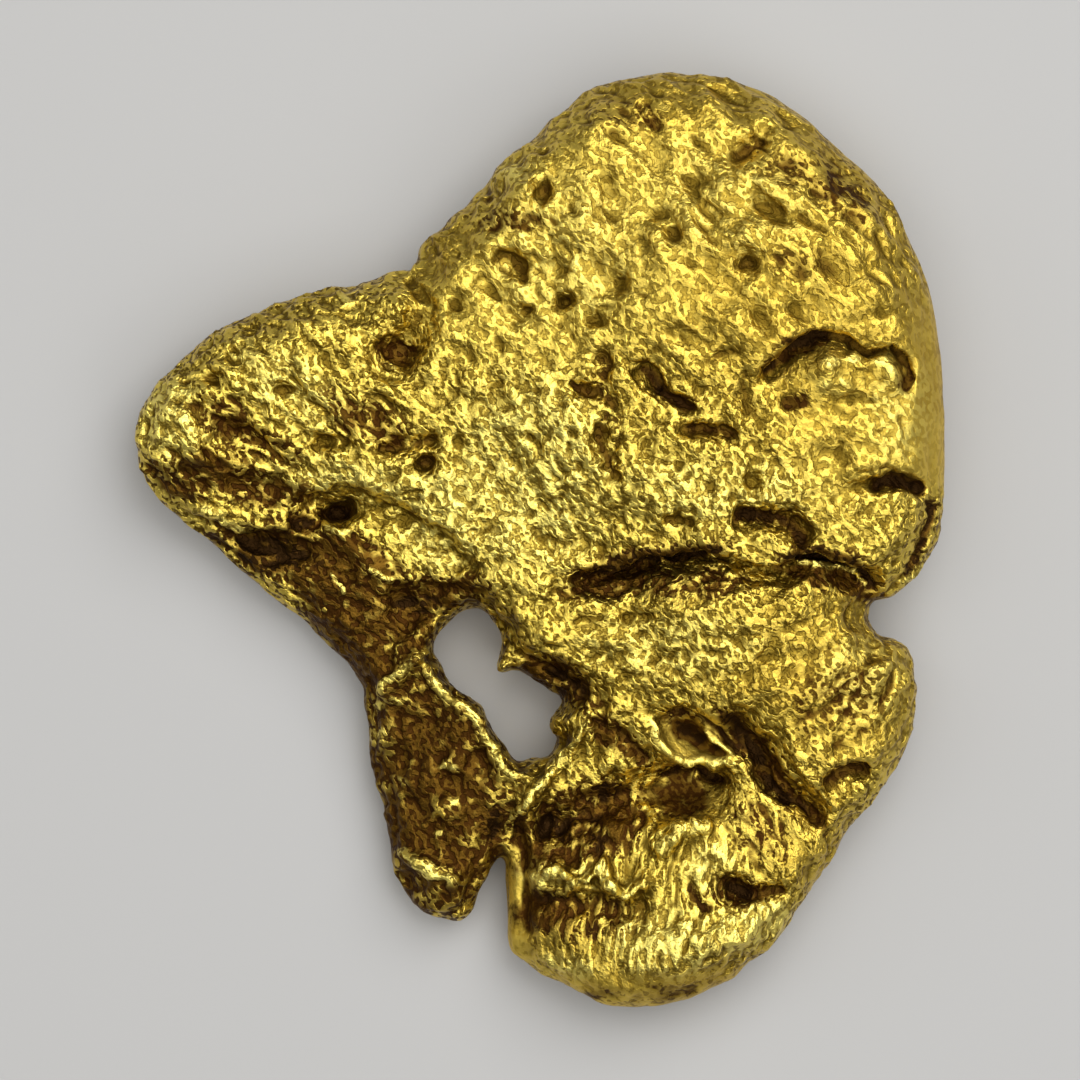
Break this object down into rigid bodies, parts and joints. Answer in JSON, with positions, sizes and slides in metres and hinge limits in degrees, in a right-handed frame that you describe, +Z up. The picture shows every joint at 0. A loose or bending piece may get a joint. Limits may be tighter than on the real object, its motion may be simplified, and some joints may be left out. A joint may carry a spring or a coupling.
{
  "type": "gold nugget",
  "caption": "Flattened natural gold nugget with a domed lobe, a side arm, a thin leg, a folded block and a hole through it, lying flat.",
  "frame": {"origin": "under the middle of the nugget's bounding box, on the surface that it rests on", "axes": "+Z up, out of the nugget's face; +Y from the folded block towards the domed lobe; +X to the right, away from the arm"},
  "size_m": [0.0202, 0.0234, 0.0045],
  "materials": {
    "native_gold": "rough, water-worn natural metal with bright high spots and brown film in its hollows"
  },
  "bodies": {
    "root": {"nugget": "native_gold"}
  },
  "joints": []
}
